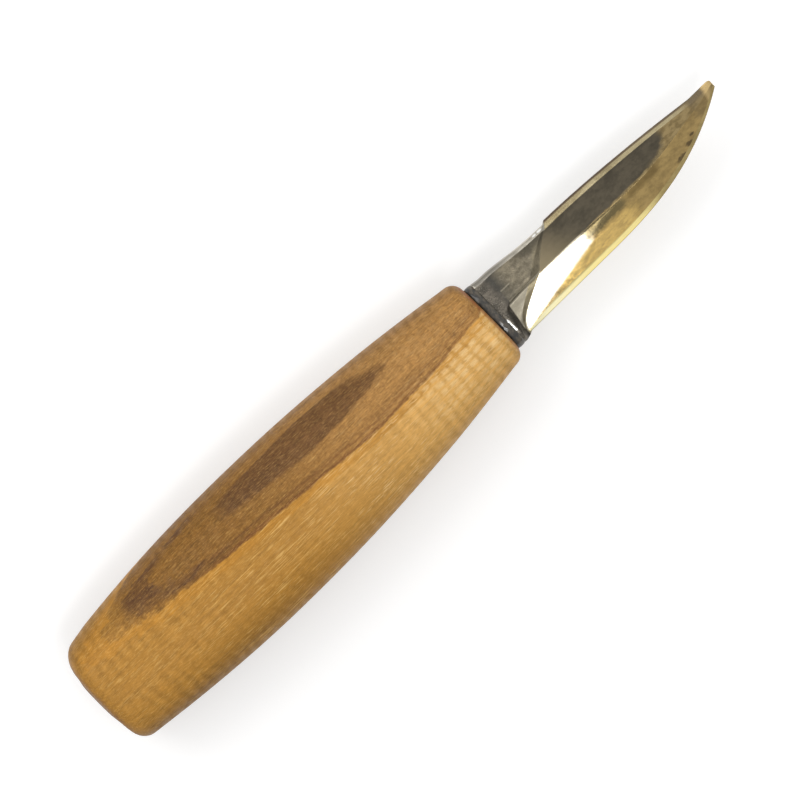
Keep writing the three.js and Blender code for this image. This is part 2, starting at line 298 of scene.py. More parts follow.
lens = bpy.data.cameras.new("Camera")
lens.lens, lens.sensor_width = LENS, SENSOR
camera = bpy.data.objects.new("Camera", lens)
camera_height = SEEN_WIDTH * LENS / SENSOR
camera.location = SEEN_MIDDLE + Vector((0, 0, camera_height))
camera.rotation_euler = (0, 0, -SLANT)
bpy.context.scene.collection.objects.link(camera)
bpy.context.scene.camera = camera
print("camera height, m", round(camera_height, 3))

# %% [markdown]
# ## The barrel handle
#
# The handle is turned or spokeshaved from one billet: widest a little behind its middle, slimmer to both
# ends, oval across. Its butt is softly rounded and its front is cut square with a small round on the rim. It
# could be a scaled sphere or a lofted curve, but rings at chosen stations put each rounding just where it is.

# %% Handle sizes
HANDLE_SPOTS = 96
BELLY_X = 51.2
FRONT_WIDTH, BUTT_WIDTH = 22.5, 26.4
FRONT_THICKNESS, BUTT_THICKNESS = 19.6, 22.4
OVAL_POWER = 2.25
BUTT_ROUND, BUTT_TOP_ROUND, FRONT_ROUND = 3.2, 5.0, 2.5
CROWN_WIDTH, CROWN_DEPTH = 4.6, 0.8
SLOT_WIDTH, SLOT_THICKNESS, SLOT_DEPTH, SLOT_POWER = 15.0, 6.2, 84.0, 4
ROUND_STEPS, BARREL_STEPS, FIRST_STEP = 8, 60, 3
HAND_SWING, HAND_WAVE, SKIN_FROM = 0.12, (22, 14, 14), 9


def oval(verts, spot, x, half_width, half_thickness, power=OVAL_POWER):
    """Moves a ring onto an oval across X that is a little squarer than an ellipse."""
    for vert in verts:
        angle = 2 * math.pi * vert[spot] / HANDLE_SPOTS
        c, s = math.cos(angle), math.sin(angle)
        y = half_width * math.copysign(abs(c) ** (2 / power), c)
        z = half_thickness * math.copysign(abs(s) ** (2 / power), s)
        vert.co = (x, y, z)


def barrel_half(x, belly, front, rear):
    """Half a width of the barrel at x. It falls away from the belly in two parabolas."""
    end = front if x > BELLY_X else rear
    share = (x - BELLY_X) / ((handle_length - BELLY_X) if x > BELLY_X else BELLY_X)
    return (belly - (belly - end) * share**2) / 2


def barrel_stations():
    """Place along the handle and how far the section is drawn in there."""
    stations = [(0.0, BUTT_ROUND + CROWN_WIDTH)]
    for number in range(ROUND_STEPS + 1):
        turn = math.pi / 2 * number / ROUND_STEPS
        stations.append((CROWN_DEPTH + BUTT_ROUND * (1 - math.cos(turn)), BUTT_ROUND * (1 - math.sin(turn))))
    start, end = CROWN_DEPTH + BUTT_ROUND, handle_length - FRONT_ROUND
    steps = range(FIRST_STEP, BARREL_STEPS + 1)
    stations += [(mix(start, end, number / BARREL_STEPS), 0.0) for number in steps]
    for number in range(1, ROUND_STEPS + 1):
        turn = math.pi / 2 * number / ROUND_STEPS
        stations.append((end + FRONT_ROUND * math.sin(turn), FRONT_ROUND * (1 - math.cos(turn))))
    return stations


def round_butt_top(ring, turn, half_width):
    """The butt's rounding is larger on the side towards the spine."""
    more = BUTT_TOP_ROUND - BUTT_ROUND
    for vert in ring:
        share = max(0.0, vert.co.y / half_width) ** 2
        vert.co.x += more * (1 - math.cos(turn)) * share
        vert.co.y -= more * (1 - math.sin(turn)) * share


# %% Handle mesh
bm = bmesh.new()
ring, edges, spot = first_ring(bm, HANDLE_SPOTS)
close_ring(bm, edges)
for number, (x, inset) in enumerate(barrel_stations()):
    if number:
        ring, edges, _ = next_ring(bm, edges)
    half_width = barrel_half(x, belly_width, FRONT_WIDTH, BUTT_WIDTH) - inset
    half_thickness = barrel_half(x, belly_thickness, FRONT_THICKNESS, BUTT_THICKNESS) - inset
    oval(ring, spot, x, half_width, half_thickness)
    if 1 <= number <= ROUND_STEPS + 1:
        round_butt_top(ring, math.pi / 2 * (number - 1) / ROUND_STEPS, half_width)
# The slot for the tang, in across the front face and back to its blind end.
for x in (handle_length, handle_length - SLOT_DEPTH):
    ring, edges, _ = next_ring(bm, edges)
    oval(ring, spot, x, SLOT_WIDTH / 2, SLOT_THICKNESS / 2, SLOT_POWER)
close_ring(bm, edges)
# A hand tool leaves the barrel a hair out of true.
for vert in bm.verts:
    between_ends = CROWN_DEPTH + BUTT_ROUND < vert.co.x < handle_length - FRONT_ROUND
    if between_ends and abs(vert.co.z) + abs(vert.co.y) > SKIN_FROM:
        wave = noise.noise(Vector(place / size for place, size in zip(vert.co, HAND_WAVE)))
        vert.co -= Vector((0, vert.co.y, vert.co.z)).normalized() * HAND_SWING * (0.5 + 0.5 * wave)
print("barrel faces", len(bm.faces))

# %% [markdown]
# ## Sapwood, heartwood and the rings between
#
# The billet was split close to the heart of a small tree, so one side of the handle is pale golden sapwood
# and the other shows brown heartwood, with a dark line where they meet. A picture wrapped round the barrel
# would smear on the butt. This finish is solid instead: it measures how far each point is from the tree's
# pith, which runs above the handle and bends away from it towards the butt. The barrel then cuts through the
# rings as the real one does, and the oval of dark core wood appears by itself where the belly bulges. So does
# the dark patch behind it, which is one dark ring that the barrel only just touches there.

# %% Wood colours and sizes
PITH = (13.2, 16.8)
PITH_BEND, PITH_BEND_FROM = 0.0041, 74.0
HEART_RADIUS, CORE_RADIUS, RING_RADIUS = 13.2, 8.22, 11.8
HEART_SWELL, HEART_SHRINK = 1.1, 0.75
SAP_BUTT, SAP_FRONT = srgb(176, 126, 52), srgb(216, 166, 92)
HEART_BUTT, HEART_FRONT, CORE_WOOD = srgb(134, 92, 36), srgb(170, 124, 67), srgb(102, 68, 36)
LINE_WOOD, RING_WOOD, GOLD_WOOD = srgb(112, 68, 32), srgb(86, 54, 32), srgb(188, 130, 44)
RIM_WOOD, PALE_WOOD, PORE_WOOD = srgb(170, 100, 60), srgb(234, 190, 112), srgb(98, 62, 28)
PILLOW_WOOD = srgb(242, 206, 146)
FIGURE_PITCH, ROW_PITCH, YEAR_PITCH = 3.2, 1.7, 1.9

print("heart and core, radius in mm", HEART_RADIUS, CORE_RADIUS)

# %% Heart, core and dark ring
def rings_round_pith(wood, butt_end):
    """How far a point is from the pith, smooth and ragged, and what makes it ragged."""
    away = 1 + wood.most(PITH_BEND_FROM - wood.x, 0.0) * PITH_BEND
    across, up = wood.y - away * PITH[0], wood.z - away * PITH[1]
    ragged = wood.ragged((3.5, 2, 2), 0.5, detail=4, offset=7)
    ragged = ragged + wood.ragged((0.9, 1, 1), 0.25, offset=6)
    smooth = (across * across + up * up) ** 0.5 + wood.ragged((30, 9, 9), 0.3, detail=2)
    return smooth, smooth + ragged * (1 + 1.5 * butt_end), ragged


def heart_depth(wood, radius, ragged):
    """How deep a point lies in the heartwood, which takes in the spine's side too."""
    edge = HEART_RADIUS + HEART_SWELL * wood.by_x(69, 87)
    edge = edge - HEART_SHRINK * wood.by_x(106, 118)
    spine_side = wood.step(wood.y + ragged, 8, 13) * wood.step(wood.x + ragged * 7, 12, 34)
    return edge + 5 * spine_side - radius


def ground_colour(wood, inside, heart, core, radius):
    """Sapwood with a golden strip, heartwood with dark lines, the core and the blotted dark ring."""
    blots = wood.step(wood.grain((6, 1.6, 1.6), detail=4, offset=5), 0.3, 0.62)
    ring = wood.band(radius, RING_RADIUS - 0.5, RING_RADIUS + 0.45, 0.5) * (0.3 + 0.7 * blots)
    ring = ring * wood.by_x(17, 21) * (0.25 + 0.75 * wood.by_x(48, 36))
    line = wood.band(inside, 0.2, 0.5, 0.4) + 0.6 * wood.band(inside, 1.5, 1.7, 0.4)
    line = line * wood.by_x(26, 46) * (0.65 - 0.2 * wood.by_x(96, 116))
    colour = wood.tint(SAP_BUTT, SAP_FRONT, wood.by_x(50, 108))
    colour = wood.tint(colour, GOLD_WOOD, wood.band(inside, -1.5, -0.3, 0.5) * 0.6)
    colour = wood.tint(colour, wood.tint(HEART_BUTT, HEART_FRONT, wood.by_x(44, 98)), heart)
    colour = wood.tint(colour, LINE_WOOD, line)
    colour = wood.tint(colour, CORE_WOOD, core * 0.88)
    return wood.tint(colour, RING_WOOD, ring * 0.8)


print("pith, mm from the handle's axis", PITH)

# %% [markdown]
# The figure lies over those colours. Curl is a set of waves across the grain. Near the front a second set
# crosses it, and pale pillows show where both crest. Year rings show where the ends are cut across.

# %% Figure and painted shade
def curl_waves(wood, front):
    """The waves across the grain and the rows along it, each from -1 to 1."""
    figure = wood.x / FIGURE_PITCH + wood.ragged((18, 30, 30), 1.2, detail=2, offset=11)
    figure = figure + wood.swing(wood.grain((5, 2, 2), detail=2, offset=12), 0.45 - 0.25 * front)
    rows = wood.y / ROW_PITCH + wood.ragged((14, 5, 5), 0.6, detail=2, offset=23)
    return wood.wave(figure), wood.wave(rows)


def pale_pillows(wood, figure, rows, flecks):
    patches = wood.step(wood.grain((7, 3, 3), detail=2, offset=29), 0.25, 0.6) * wood.by_y(-12, -7)
    pillows = wood.step(rows, -1.2, 0.6) * wood.step(figure, -1.3, 0.2)
    return pillows * patches * (0.55 + 0.45 * wood.step(flecks, 0.4, 0.6))


def pale_dashes(wood):
    """Short pale dashes in loose groups, fainter at the butt."""
    dashes = wood.step(wood.grain((4.6, 0.25, 0.25), detail=2, roughness=0.55, offset=27), 0.53, 0.68)
    groups = wood.step(wood.grain((9, 2.5, 2.5), detail=2, offset=33), 0.35, 0.6)
    return dashes * groups * (0.3 + 0.35 * wood.by_x(14, 50))


def painted_side_shade(wood):
    """Painted shade: darker on the lower edge, most towards the butt, and at both ends on the spine's side,
    where the sides turn from the light.
    """
    lower_edge = (0.08 + 0.3 * wood.by_x(72, 8)) * wood.by_y(-10.3, -14.4)
    ends = wood.by_x(26, 8) * 0.16 + wood.by_x(70, 110) * 0.14
    return lower_edge + wood.by_y(6, 14) * ends


def year_lines(wood, smooth):
    """Dark year rings on both cut ends, unevenly far apart."""
    uneven = wood.swing(wood.layers(smooth * 0.22, detail=2.0), 2.5)
    year = wood.wave((smooth + uneven) / YEAR_PITCH)
    cut_across = wood.by_x(2.6, 0.8)
    cut_across = cut_across + wood.by_x(handle_length - 0.3, handle_length - 0.05)
    return wood.step(year, 0.2, 1.0) * cut_across


print("waves of the curl, mm", FIGURE_PITCH, "by", ROW_PITCH)

# %% Wood finish
def golden_hardwood():
    """The grain shades the ground colour, and pale and dark marks are laid on after."""
    wood = Finish("golden_hardwood_with_heart")
    butt_end, front = wood.by_x(46, 16), wood.by_x(88, 110)
    smooth, radius, ragged = rings_round_pith(wood, butt_end)
    inside = heart_depth(wood, radius, ragged)
    heart = wood.step(inside, -0.3, 0.35) * (0.4 + 0.6 * wood.step(wood.x + ragged * 6, 13, 23))
    core_edge = CORE_RADIUS + 0.7 * wood.by_y(10.8, 13) + 0.2 * wood.by_x(62, 52)
    core = wood.step(smooth + ragged * 0.4 - core_edge, 0.3, -0.35)
    figure, rows = curl_waves(wood, front)
    end_grain = wood.by_x(0.9, 0.4)
    end_grain = end_grain + wood.by_x(handle_length - 0.15, handle_length - 0.05)

    rings = wood.layers(radius * 1.3, detail=4.0, roughness=0.6)
    streaks = wood.grain((30, 0.7, 0.7), detail=5, roughness=0.65)
    mottle = wood.grain((1.5, 0.34, 0.34), detail=3, roughness=0.6, offset=15)
    flecks = wood.grain((1.6, 0.17, 0.17), detail=3, roughness=0.7, offset=3)
    ticks = wood.grain((0.45, 0.9, 0.9), detail=2, offset=41)
    pores = wood.grain((1.3, 0.13, 0.13), detail=2, offset=19)
    curl = wood.step(wood.grain((15, 7, 7), detail=2, offset=31), 0.35, 0.65)
    curl = curl * (0.06 + 0.09 * front + 0.06 * butt_end)
    value = 1 + wood.swing(rings, 0.16 + 0.14 * heart + 0.3 * end_grain) + wood.swing(streaks, 0.42)
    value = value + wood.swing(mottle, 0.1 + 0.3 * heart) + wood.swing(flecks, 0.2 + 0.14 * heart)
    value = value + wood.swing(ticks, 0.1 + 0.2 * heart) + figure * curl
    # Painted shade: the rounded butt end and the sides that turn from the light are made darker.
    value = value - 0.06 * wood.by_x(12, 4) - painted_side_shade(wood)
    colour = wood.shade(ground_colour(wood, inside, heart, core, radius), value)

    pillows = pale_pillows(wood, figure, rows, flecks) * front * (1 - 0.9 * heart)
    colour = wood.tint(colour, PILLOW_WOOD, pillows * 0.8)
    dash = wood.tint(PALE_WOOD, PILLOW_WOOD, wood.by_x(50, 90))
    colour = wood.tint(colour, dash, pale_dashes(wood) * (1 - 0.8 * heart) * (1 - core))
    colour = wood.tint(colour, PALE_WOOD, wood.step(mottle, 0.5, 0.75) * 0.14)
    colour = wood.tint(colour, PALE_WOOD, wood.step(flecks, 0.55, 0.75) * 0.35)
    colour = wood.tint(colour, PORE_WOOD, wood.step(pores, 0.6, 0.72) * 0.3)
    front_rim = wood.band(wood.x, handle_length - 0.45, handle_length - 0.2, 0.35)
    colour = wood.tint(colour, RIM_WOOD, front_rim * 0.6)
    colour = wood.tint(colour, LINE_WOOD, wood.by_x(2.2, 0.6) * 0.45)
    colour = wood.tint(colour, LINE_WOOD, year_lines(wood, smooth) * 0.42)
    colour = wood.shade(colour, 1 - 0.1 * end_grain)

    normal = wood.bump(streaks * 0.5 + flecks * 0.35 + wood.step(pores, 0.74, 0.6) * 0.3, 0.06)
    gloss = 0.5 - figure * 0.05 + 0.15 * end_grain
    return wood.surface(Base_Color=colour, Roughness=gloss, Normal=normal, Specular_IOR_Level=0.2)


handle = finished(bm, "barrel_handle", "handle", [golden_hardwood()])
handle.data.shade_smooth()
handle.data.set_sharp_from_angle(angle=math.radians(40))

# %% [markdown]
# ## The forged blade
#
# One forging is the tang, the bolster, the neck and the blade. Its section has the same ten places all along,
# from the cutting edge up to the spine, and mirrored on the other side. So a line such as the grind line is
# one row of edges from end to end, and it can be kept crisp or let go soft as the real forging has it.

# %% Blade sizes
EDGE, EDGE_BEVEL, BEVEL_LOW, BEVEL_HIGH, GRIND, NECK_EDGE, FLAT, CHAMFER, BREAK, SPINE = range(10)
SHOULDER_X = handle_length + 1.8
NECK_END_X = handle_length + 23.6
TIP_X = handle_length + 71.8
EDGE_Y, BLADE_HEIGHT = -8.7, 15.7
SPINE_Y = EDGE_Y + BLADE_HEIGHT
BLADE_THICKNESS, TIP_THICKNESS, TAPER_X = 2.8, 1.1, handle_length + 44
SWEEP_X, SWEEP_RISE, SWEEP_POWER = handle_length + 29.6, 10.2, 2.6
SPINE_LEVEL_X, SPINE_FALL, SPINE_FALL_POWER = handle_length + 65.6, 3.35, 1.6
TIP_BLUNTING, TIP_SHOULDER, TIP_CLOSING = 0.5, 0.35, 0.55
EDGE_BEVEL_HEIGHT, EDGE_BEVEL_DEPTH, TIP_EDGE_BEVEL = 1.45, 0.34, 0.45
HONING_BULGE, TIP_HONING_BULGE = 0.012, 0.0036
HEEL_FROM, HEEL_TO, HEEL_SHARE = handle_length + 3.5, handle_length + 15.0, 0.12
CHAMFER_HEIGHT, TIP_CHAMFER, CHAMFER_BREAK = 1.7, 0.7, 0.24
GRIND_HEIGHTS = [0.503, 0.492, 0.468, 0.458, 0.5, 0.55, 0.5]
NECK_EDGE_SHARE, FLAT_SHARE = 0.06, 0.6
BOLSTER_LENGTH, BOLSTER_THICKNESS, BOLSTER_TOE, BOLSTER_REAR_ROUND = 3.0, 5.0, 0.8, 0.35
NECK_END_THICKNESS, NECK_FLARE, SPINE_STEP, NECK_CHAMFER = 3.5, 1.7, 0.5, 1.0
NECK_REACH = NECK_END_X - handle_length
PLUNGE = [0.21, 0.17, 0.21, 0.43, 0.63, 0.65, 0.79, 0.95, 0.99, 1]
RAMP_WIDTH = [0.02, 0.01, 0.01, 0.06, 0.15, 0.14, 0.06, 0.04, 0.03, 0.03]
WEB_RISE = [-0.008, 0.01, 0.041, 0.038, -0.006]
BOLSTER_HEIGHTS = [0, 0.035, 0.14, 0.28, 0.42, 0.49, 0.72, 0.93, 0.98, 1]
BOLSTER_THICK = [0, 0.62, 0.9, 0.99, 1, 1, 1, 0.96, 0.76, 0.42]
CREST = [0.3, 0.3, 0.35, 0.45, 0.6, 0.92, 0.7, 0.7, 0.7, 0.7]
FOOT_ALONG = [0.8, 0.7, 0.82, 0.95, 1.07]
FOOT_HEIGHT = [-0.022, 0.072, 0.178, 0.33, 0.49]
FOOT_THICK = [0, 0.3, 0.9, 1, 1]
NECK_THICK = [0, 1, 1, 1, 1, 1, 1, 1, 0.78, 0.42]
BLADE_THICK = [0, 1, 1, 1, 1, 1, 1, 1, 0.64, 0.4]
NECK_COLUMNS, BLADE_COLUMNS = 14, 72
NECK_START = 1 / 7


def edge_at(x):
    share = max(0.0, (x - SWEEP_X) / (TIP_X - SWEEP_X))
    return EDGE_Y + SWEEP_RISE * share**SWEEP_POWER


def spine_at(x):
    share = clamp((x - NECK_END_X) / (SPINE_LEVEL_X - NECK_END_X))
    return SPINE_Y - SPINE_FALL * share**SPINE_FALL_POWER


def blade_point(row, x):
    """The place of one row on the blade forward of the plunge."""
    to_tip = clamp((x - NECK_END_X) / (TIP_X - NECK_END_X))
    edge, spine = edge_at(x), spine_at(x)
    heel = clamp((x - HEEL_FROM) / (HEEL_TO - HEEL_FROM))
    narrowed = mix(1, TIP_EDGE_BEVEL, to_tip)
    bevel = edge + EDGE_BEVEL_HEIGHT * mix(HEEL_SHARE, narrowed, math.sin(heel * math.pi / 2))
    grind = mix(edge, spine, along(GRIND_HEIGHTS, to_tip))
    chamfer = CHAMFER_HEIGHT * mix(1, TIP_CHAMFER, to_tip)
    neck_edge = mix(grind, spine - chamfer, NECK_EDGE_SHARE)
    flat = mix(neck_edge, spine - chamfer, FLAT_SHARE)
    heights = [edge, bevel, mix(bevel, grind, 1 / 3), mix(bevel, grind, 2 / 3), grind]
    heights += [neck_edge, flat, spine - chamfer, spine - chamfer * CHAMFER_BREAK, spine]
    taper = clamp((x - TAPER_X) / (TIP_X - TAPER_X))
    half = mix(BLADE_THICKNESS, TIP_THICKNESS, taper) / 2
    low_half = EDGE_BEVEL_DEPTH * narrowed
    if heel < 1:
        slope = (half - EDGE_BEVEL_DEPTH) / (grind - edge - EDGE_BEVEL_HEIGHT)
        low_half = half - slope * (grind - bevel)
    depth = half * BLADE_THICK[row]
    if EDGE < row < GRIND:
        depth = mix(low_half, half, (row - 1) / (GRIND - 1))
    if row in (BEVEL_LOW, BEVEL_HIGH):
        depth += mix(HONING_BULGE, TIP_HONING_BULGE, to_tip)
    return Vector((x, heights[row], depth))


def neck_share(x):
    return clamp((x - SHOULDER_X) / (NECK_END_X - SHOULDER_X))


def neck_top(x):
    return SPINE_Y - SPINE_STEP + NECK_FLARE * (1 - neck_share(x)) ** 2


def bolster_point(row, x, rounding):
    y = mix(EDGE_Y - BOLSTER_TOE + rounding, neck_top(x) - rounding, BOLSTER_HEIGHTS[row])
    return Vector((x, y, (BOLSTER_THICKNESS / 2 - rounding) * BOLSTER_THICK[row]))


def crest_point(row):
    return bolster_point(row, SHOULDER_X + BOLSTER_LENGTH * CREST[row], 0)


def foot_point(row):
    x = SHOULDER_X + BOLSTER_LENGTH * FOOT_ALONG[row]
    return Vector((x, EDGE_Y + BLADE_HEIGHT * FOOT_HEIGHT[row], BLADE_THICKNESS / 2 * FOOT_THICK[row]))


def neck_point(row, x):
    """A place on the neck's raised face or on its chamfer."""
    top = neck_top(x)
    low = blade_point(NECK_EDGE, NECK_END_X).y
    heights = {NECK_EDGE: low, FLAT: mix(low, top - NECK_CHAMFER, FLAT_SHARE), CHAMFER: top - NECK_CHAMFER}
    heights |= {BREAK: top - NECK_CHAMFER * CHAMFER_BREAK, SPINE: top}
    half = mix(BOLSTER_THICKNESS, NECK_END_THICKNESS, neck_share(x)) / 2
    return Vector((x, heights[row], half * NECK_THICK[row]))


def plunge_x(row):
    return handle_length + NECK_REACH * PLUNGE[row]


def ramp_point(row):
    """The top of the plunge's ramp on a row."""
    foot = blade_point(row, plunge_x(row))
    x = foot.x - NECK_REACH * RAMP_WIDTH[row]
    if row > GRIND:
        return neck_point(row, x)
    return Vector((x, foot.y + BLADE_HEIGHT * WEB_RISE[row], BLADE_THICKNESS / 2 * FOOT_THICK[row]))


def neck_column(row, share):
    """A place behind the plunge, on the web or on the neck's own face."""
    ramp = ramp_point(row)
    if row <= GRIND:
        return foot_point(row).lerp(ramp, share)
    crest = crest_point(row)
    reach = mix(NECK_START, 1, share)
    point = neck_point(row, mix(crest.x, ramp.x, reach))
    point.y = mix(point.y, mix(crest.y, point.y, reach), (1 - share) ** 2)
    return point


def blade_column(row, share):
    return blade_point(row, mix(plunge_x(row), TIP_X - TIP_BLUNTING, share))


print("blade, mm from", round(NECK_END_X, 1), "to", round(TIP_X, 1))

# %% [markdown]
# The tang hides in the handle, but it is part of the same forging, so it is grown from the same ring: a flat
# bar that tapers to the rear, with half-round notches filed in its edges for the epoxy to key into.

# %% Tang sizes
TANG_LENGTH, TANG_THICKNESS = 78.0, 3.6
TANG_ROOT_HEIGHT, TANG_END_HEIGHT = 11.0, 6.4
NOTCH_RADIUS, NOTCH_PITCH, NOTCH_PAIRS = 1.3, 17.0, 3
NOTCH_STEPS, SHOULDER_STEP = 8, 0.02
TANG_END_X, TANG_END_RADIUS = SHOULDER_X - TANG_LENGTH, TANG_END_HEIGHT / 2
TANG_ROWS = [-1, -1, -0.7, -0.4, -0.1, 0.1, 0.4, 0.7, 1, 1]
TANG_DEPTHS = [0, 1, 1, 1, 1, 1, 1, 1, 1, 0.42]


def tang_half_height(x):
    """Half the bar's height at x, less what a notch or the round end takes off."""
    half = mix(TANG_END_HEIGHT, TANG_ROOT_HEIGHT, (x - TANG_END_X) / TANG_LENGTH) / 2
    inside_end = TANG_END_X + TANG_END_RADIUS - x
    if inside_end > 0:
        half = math.sqrt(max(0.01, TANG_END_RADIUS**2 - inside_end**2))
    for pair in range(1, NOTCH_PAIRS + 1):
        off = abs(x - (SHOULDER_X - pair * NOTCH_PITCH))
        if off < NOTCH_RADIUS:
            half -= math.sqrt(NOTCH_RADIUS**2 - off**2)
    return half


def tang_stations():
    """Places from the shoulder back, closer together at the notches and at the end."""
    turns = [math.pi * number / NOTCH_STEPS for number in range(NOTCH_STEPS + 1)]
    stations = [SHOULDER_X - SHOULDER_STEP]
    for pair in range(1, NOTCH_PAIRS + 1):
        middle = SHOULDER_X - pair * NOTCH_PITCH
        stations += [middle + NOTCH_RADIUS * math.cos(turn) for turn in turns]
    return stations + [TANG_END_X + TANG_END_RADIUS * (1 - math.sin(turn / 2)) for turn in turns]


print("tang stations", len(tang_stations()))

# %% [markdown]
# Each part of the forging has its own finish: the neck keeps forge scale, the flat has a dark patina, and the
# bevels are polished. Which finish a face gets depends on the two rows it lies between and on the stretch of
# the blade that it belongs to, so the mesh carries that as its material number.

# %% Blade mesh
FINISHES = ["scale", "neck_chamfer", "web", "plunge", "bolster"]
FINISHES += ["patina", "bevel", "edge", "spine_chamfer", "spine"]
RING_ROWS = list(range(SPINE, -1, -1)) + list(range(1, SPINE + 1))


def face_finish(low_row, stretch):
    """The finish of the strip between low_row and the row above it."""
    if stretch == "tang" or (stretch == "bolster" and low_row < CHAMFER):
        return "bolster"
    if stretch == "blade":
        bands = ["edge"] + ["bevel"] * 3 + ["patina"] * 3 + ["spine_chamfer", "spine", "spine"]
    elif stretch == "ramp":
        bands = ["plunge"] * 4 + ["scale"] * 3 + ["neck_chamfer"] * 3
    else:
        bands = ["web"] * 4 + ["scale"] * 3 + ["neck_chamfer"] * 3
    return bands[low_row]


def blade_stations():
    """Each ring from the shoulder forward, as a stretch's name and a point for each row."""
    rear_x = SHOULDER_X + BOLSTER_REAR_ROUND
    yield "bolster", lambda row: bolster_point(row, SHOULDER_X, BOLSTER_REAR_ROUND)
    yield "bolster", lambda row: bolster_point(row, mix(SHOULDER_X, rear_x, 0.35), BOLSTER_REAR_ROUND * 0.3)
    yield "bolster", lambda row: bolster_point(row, rear_x, 0)
    yield "bolster", crest_point
    for column in range(NECK_COLUMNS + 1):
        share = column / NECK_COLUMNS
        yield ("neck" if column else "bolster"), lambda row, share=share: neck_column(row, share)
    for column in range(BLADE_COLUMNS + 1):
        share = column / BLADE_COLUMNS
        yield ("blade" if column else "ramp"), lambda row, share=share: blade_column(row, share)

    def blunt(row):
        end_x = TIP_X - TIP_BLUNTING
        low, high = edge_at(end_x), spine_at(end_x)
        last = blade_point(row, end_x)
        share = (last.y - low) / (high - low)
        return Vector((TIP_X, mix(low + TIP_SHOULDER, high - TIP_SHOULDER, share), last.z * TIP_CLOSING))

    yield "blade", blunt


def put(verts, spot, point_of):
    """Moves a ring onto a section, down one side of the blade and up the other."""
    for vert in verts:
        row = RING_ROWS[vert[spot]]
        point = point_of(row)
        vert.co = (point.x, point.y, point.z if vert[spot] <= SPINE else -point.z)


def paint(faces, spot, stretch):
    for face in faces:
        low_row = min(RING_ROWS[vert[spot]] for vert in face.verts)
        face.material_index = FINISHES.index(face_finish(low_row, stretch))


bm = bmesh.new()
ring, edges, spot = first_ring(bm, len(RING_ROWS))
shoulder_edges = edges
rings = []
for number, (stretch, point_of) in enumerate(blade_stations()):
    if number:
        ring, edges, faces = next_ring(bm, edges)
        paint(faces, spot, stretch)
    put(ring, spot, point_of)
    rings.append((stretch, ring))
close_ring(bm, edges)
edges = shoulder_edges
for x in tang_stations():
    ring, edges, faces = next_ring(bm, edges)
    paint(faces, spot, "tang")
    half = tang_half_height(x)
    put(ring, spot, lambda row: Vector((x, half * TANG_ROWS[row], TANG_THICKNESS / 2 * TANG_DEPTHS[row])))
close_ring(bm, edges)
print("blade rings", len(rings))

# %% [markdown]
# A subdivided mesh goes soft everywhere, and a crease holds an edge. Rows that a grinder or a file left crisp
# get a high crease. The foot of the bolster and the top of the plunge are worn, so they get a lower one.

# %% Creases
ROW_CREASES = {EDGE: 1.0, EDGE_BEVEL: 1.0, GRIND: 0.9, CHAMFER: 0.9, BREAK: 0.8, SPINE: 0.85}
NECK_CREASES = {EDGE: 1.0, GRIND: 0.85, NECK_EDGE: 0.85, CHAMFER: 0.8, BREAK: 0.6, SPINE: 0.75}
TANG_ROOT_CREASE, TANG_CREASE = 1.0, 0.9
RAMP_CREASE, BOLSTER_CREASE, SHARP_FROM = 0.8, 0.5, 0.9


def crease_blade(bm, rings, spot):
    crease = bm.edges.layers.float.new("crease_edge")
    ring_of = {vert: number for number, (_, ring) in enumerate(rings) for vert in ring}
    ramp = [stretch for stretch, _ in rings].index("ramp")
    crisp_rings = (0, ramp - 1, ramp, len(rings) - 1)
    for edge in bm.edges:
        ends = [ring_of.get(vert) for vert in edge.verts]
        if None in ends:
            edge[crease] = TANG_CREASE if ends[0] == ends[1] else TANG_ROOT_CREASE
            continue
        number = max(ends)
        stretch = rings[number][0]
        if ends[0] != ends[1]:
            table = ROW_CREASES if stretch == "blade" else NECK_CREASES
            edge[crease] = table.get(RING_ROWS[edge.verts[0][spot]], 0.0)
            edge.smooth = edge[crease] < SHARP_FROM
        elif number in crisp_rings:
            edge[crease] = RAMP_CREASE
        elif stretch == "bolster":
            edge[crease] = BOLSTER_CREASE


crease_blade(bm, rings, spot)
print("edges that stay sharp", sum(not edge.smooth for edge in bm.edges))

# %% [markdown]
# ## Steel, polished and left black
#
# All the steel is one metal, and what differs is how dark the surface is and how sharply it reflects. The
# bevels are ground and stropped to a warm gold shine with fine scratches, and the flat keeps a brown-black
# patina with soft ends. The scale on the neck is grey and pitted. One function makes them all, and a second
# one for each face adds what only that face has. Some of that is painted light: painted reflections on the
# bevel, painted highlights on the honed strip, the neck chamfer, the bolster and the spine, and painted shade
# on the bolster's front face.

# %% Steel
def steel_finish(name, dark, light, roughness, scratch, pits, waves, extra):
    """Steel whose colour wanders between two tones, with scratches, pits and slow waves."""
    steel = Finish(name)
    cloud = steel.grain((4.5, 2.2, 2.2), detail=4, roughness=0.6)
    fine = steel.grain((0.9, 0.7, 0.7), detail=3, roughness=0.65, offset=4)
    light_share = steel.step(cloud + steel.swing(fine, 0.18), 0.3, 0.7)
    colour = steel.tint(srgb(*dark), srgb(*light), light_share)
    gloss = roughness + steel.swing(fine, 0.05)
    if extra:
        colour, gloss = extra(steel, colour, gloss)
    hairs = steel.grain((0.07, 3.5, 3.5), detail=2, roughness=0.6, offset=9)
    pocks = steel.step(steel.grain((0.5, 0.5, 0.5), detail=3, roughness=0.6, offset=2), 0.42, 0.58)
    normal = steel.bump(hairs * scratch + pocks * pits, 0.02)
    if waves:
        normal = steel.bump(steel.grain((9, 5, 5), detail=1.0, offset=13), waves, normal)
    return steel.surface(Base_Color=colour, Roughness=gloss, Metallic=1.0, Normal=normal)


print("steel ready")

